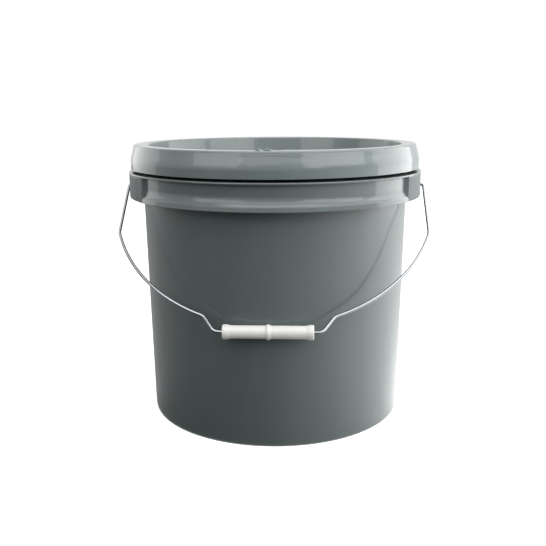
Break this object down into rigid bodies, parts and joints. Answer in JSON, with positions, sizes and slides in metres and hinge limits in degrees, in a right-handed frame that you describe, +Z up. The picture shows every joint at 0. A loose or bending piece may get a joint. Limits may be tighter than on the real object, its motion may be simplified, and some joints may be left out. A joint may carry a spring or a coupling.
{
  "type": "fermenting bucket",
  "caption": "Round tapered plastic bucket with a deep reinforcing collar, press-on lid with a recessed panel and airlock grommet, and a wire bail with a turning grip.",
  "frame": {"origin": "centre of the foot ring's contact plane, on the bucket's axis", "axes": "+Z up along the bucket's axis, X along the bail's hinge axis, the bail rests on the -Y side"},
  "size_m": [0.3236, 0.3118, 0.2904],
  "materials": {
    "bucket_plastic": "smooth glossy moulded grey, fine vertical ribs on the ear panels",
    "lid_plastic": "smooth glossy moulded grey",
    "gasket_rubber": "soft black foam rubber",
    "grommet_rubber": "moulded black rubber",
    "wire_steel": "bright drawn zinc-plated wire",
    "grip_plastic": "white moulded plastic"
  },
  "bodies": {
    "bucket": {"bucket": "bucket_plastic"},
    "lid": {"lid": "lid_plastic", "lid_gasket": "gasket_rubber", "airlock_grommet": "grommet_rubber"},
    "bail": {"bail_wire": "wire_steel"},
    "grip": {"bail_grip": "grip_plastic"}
  },
  "joints": [
    {"name": "lid_lift", "type": "slide", "parent": "bucket", "child": "lid", "axis": [0, 0, 1], "range_m": [0, 0.12]},
    {"name": "bail_swing", "type": "hinge", "parent": "bucket", "child": "bail", "pos_m": [0, 0, 0.24475], "axis": [-1, 0, 0], "range_deg": [0, 260]},
    {"name": "grip_spin", "type": "hinge", "parent": "bail", "child": "grip", "pos_m": [0, -0.14693, 0.12133], "axis": [1, 0, 0], "continuous": true}
  ]
}
